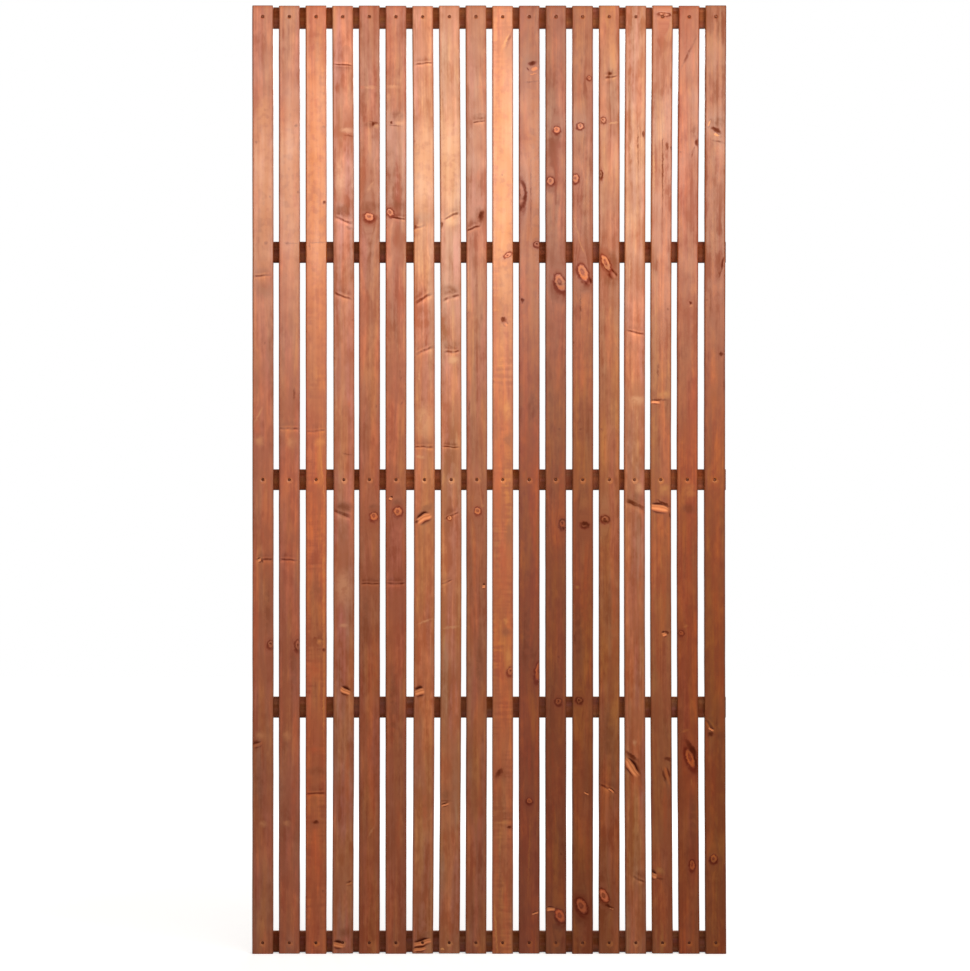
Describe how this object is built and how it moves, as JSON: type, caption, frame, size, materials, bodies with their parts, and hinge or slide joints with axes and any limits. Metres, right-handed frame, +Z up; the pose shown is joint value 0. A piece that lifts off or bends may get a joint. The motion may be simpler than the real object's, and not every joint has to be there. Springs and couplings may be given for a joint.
{
  "type": "garden privacy screen",
  "caption": "Flat garden screen panel of upright timber slats with narrow gaps, nailed to cross rails behind them, fixed between posts for privacy.",
  "frame": {"origin": "middle of the footprint, at the foot of the slats", "axes": "+Z up along the slats, +X to the right seen from the front, +Y towards the rails at the back"},
  "size_m": [0.9002, 0.032, 1.8],
  "materials": {
    "slat_wood": "stained satin",
    "rail_wood": "stained satin",
    "nail_steel": "bright"
  },
  "bodies": {
    "root": {"slat_01": "slat_wood", "slat_02": "slat_wood", "slat_03": "slat_wood", "slat_04": "slat_wood", "slat_05": "slat_wood", "slat_06": "slat_wood", "slat_07": "slat_wood", "slat_08": "slat_wood", "slat_09": "slat_wood", "slat_10": "slat_wood", "slat_11": "slat_wood", "slat_12": "slat_wood", "slat_13": "slat_wood", "slat_14": "slat_wood", "slat_15": "slat_wood", "slat_16": "slat_wood", "slat_17": "slat_wood", "slat_18": "slat_wood", "top_rail": "rail_wood", "upper_rail": "rail_wood", "middle_rail": "rail_wood", "lower_rail": "rail_wood", "bottom_rail": "rail_wood", "top_rail_nail_01": "nail_steel", "top_rail_nail_02": "nail_steel", "top_rail_nail_03": "nail_steel", "top_rail_nail_04": "nail_steel", "top_rail_nail_05": "nail_steel", "top_rail_nail_06": "nail_steel", "top_rail_nail_07": "nail_steel", "top_rail_nail_08": "nail_steel", "top_rail_nail_09": "nail_steel", "top_rail_nail_10": "nail_steel", "top_rail_nail_11": "nail_steel", "top_rail_nail_12": "nail_steel", "top_rail_nail_13": "nail_steel", "top_rail_nail_14": "nail_steel", "top_rail_nail_15": "nail_steel", "top_rail_nail_16": "nail_steel", "top_rail_nail_17": "nail_steel", "top_rail_nail_18": "nail_steel", "bottom_rail_nail_01": "nail_steel", "bottom_rail_nail_02": "nail_steel", "bottom_rail_nail_03": "nail_steel", "bottom_rail_nail_04": "nail_steel", "bottom_rail_nail_05": "nail_steel", "bottom_rail_nail_06": "nail_steel", "bottom_rail_nail_07": "nail_steel", "bottom_rail_nail_08": "nail_steel", "bottom_rail_nail_09": "nail_steel", "bottom_rail_nail_10": "nail_steel", "bottom_rail_nail_11": "nail_steel", "bottom_rail_nail_12": "nail_steel", "bottom_rail_nail_13": "nail_steel", "bottom_rail_nail_14": "nail_steel", "bottom_rail_nail_15": "nail_steel", "bottom_rail_nail_16": "nail_steel", "bottom_rail_nail_17": "nail_steel", "bottom_rail_nail_18": "nail_steel"}
  },
  "joints": []
}
